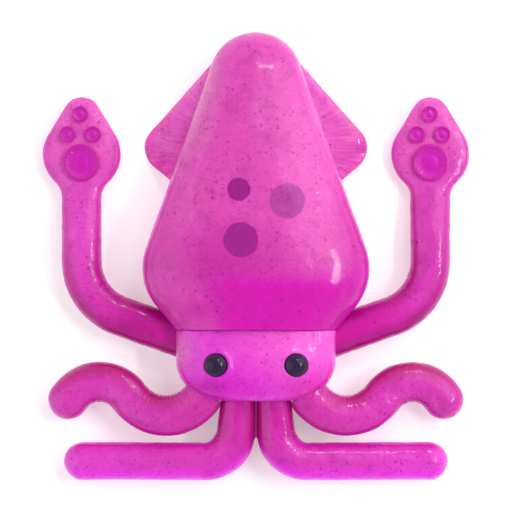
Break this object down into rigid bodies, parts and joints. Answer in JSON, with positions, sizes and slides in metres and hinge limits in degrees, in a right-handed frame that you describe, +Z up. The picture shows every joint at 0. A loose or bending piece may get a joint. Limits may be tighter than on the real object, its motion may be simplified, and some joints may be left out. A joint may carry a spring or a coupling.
{
  "type": "whole raw squid",
  "caption": "Whole raw squid lying limp on its belly, with a finned mantle, a head with round eyes, two clubbed tentacles and wavy and bent arms.",
  "frame": {"origin": "middle of the footprint, on the surface that the squid lies on", "axes": "+Y along the body to the mantle's tip, +X to the animal's side, to the right seen from above with the tip away, +Z up from the belly to the back"},
  "size_m": [0.2298, 0.2407, 0.043],
  "materials": {
    "mantle": "wet magenta skin with fine pigment speckles, three dark round spots and a deeper band at the belly",
    "fin": "wet thin muscle, translucent at its margin",
    "head": "wet speckled skin, violet pink below",
    "eye": "glossy, near black with a violet cast",
    "funnel": "wet, pale pink",
    "tentacle": "wet speckled skin, paler club with dark magenta sucker cups",
    "arm": "wet speckled skin, darker at the root, two rows of small suckers below"
  },
  "bodies": {
    "root": {"mantle": "mantle", "fin_left": "fin", "fin_right": "fin", "head": "head", "eye_left": "eye", "eye_right": "eye", "funnel": "funnel", "tentacle_left": "tentacle", "tentacle_right": "tentacle", "arm_1_left": "arm", "arm_1_right": "arm", "arm_2_left": "arm", "arm_2_right": "arm", "arm_3_left": "arm", "arm_3_right": "arm", "arm_4_left": "arm", "arm_4_right": "arm"}
  },
  "joints": []
}
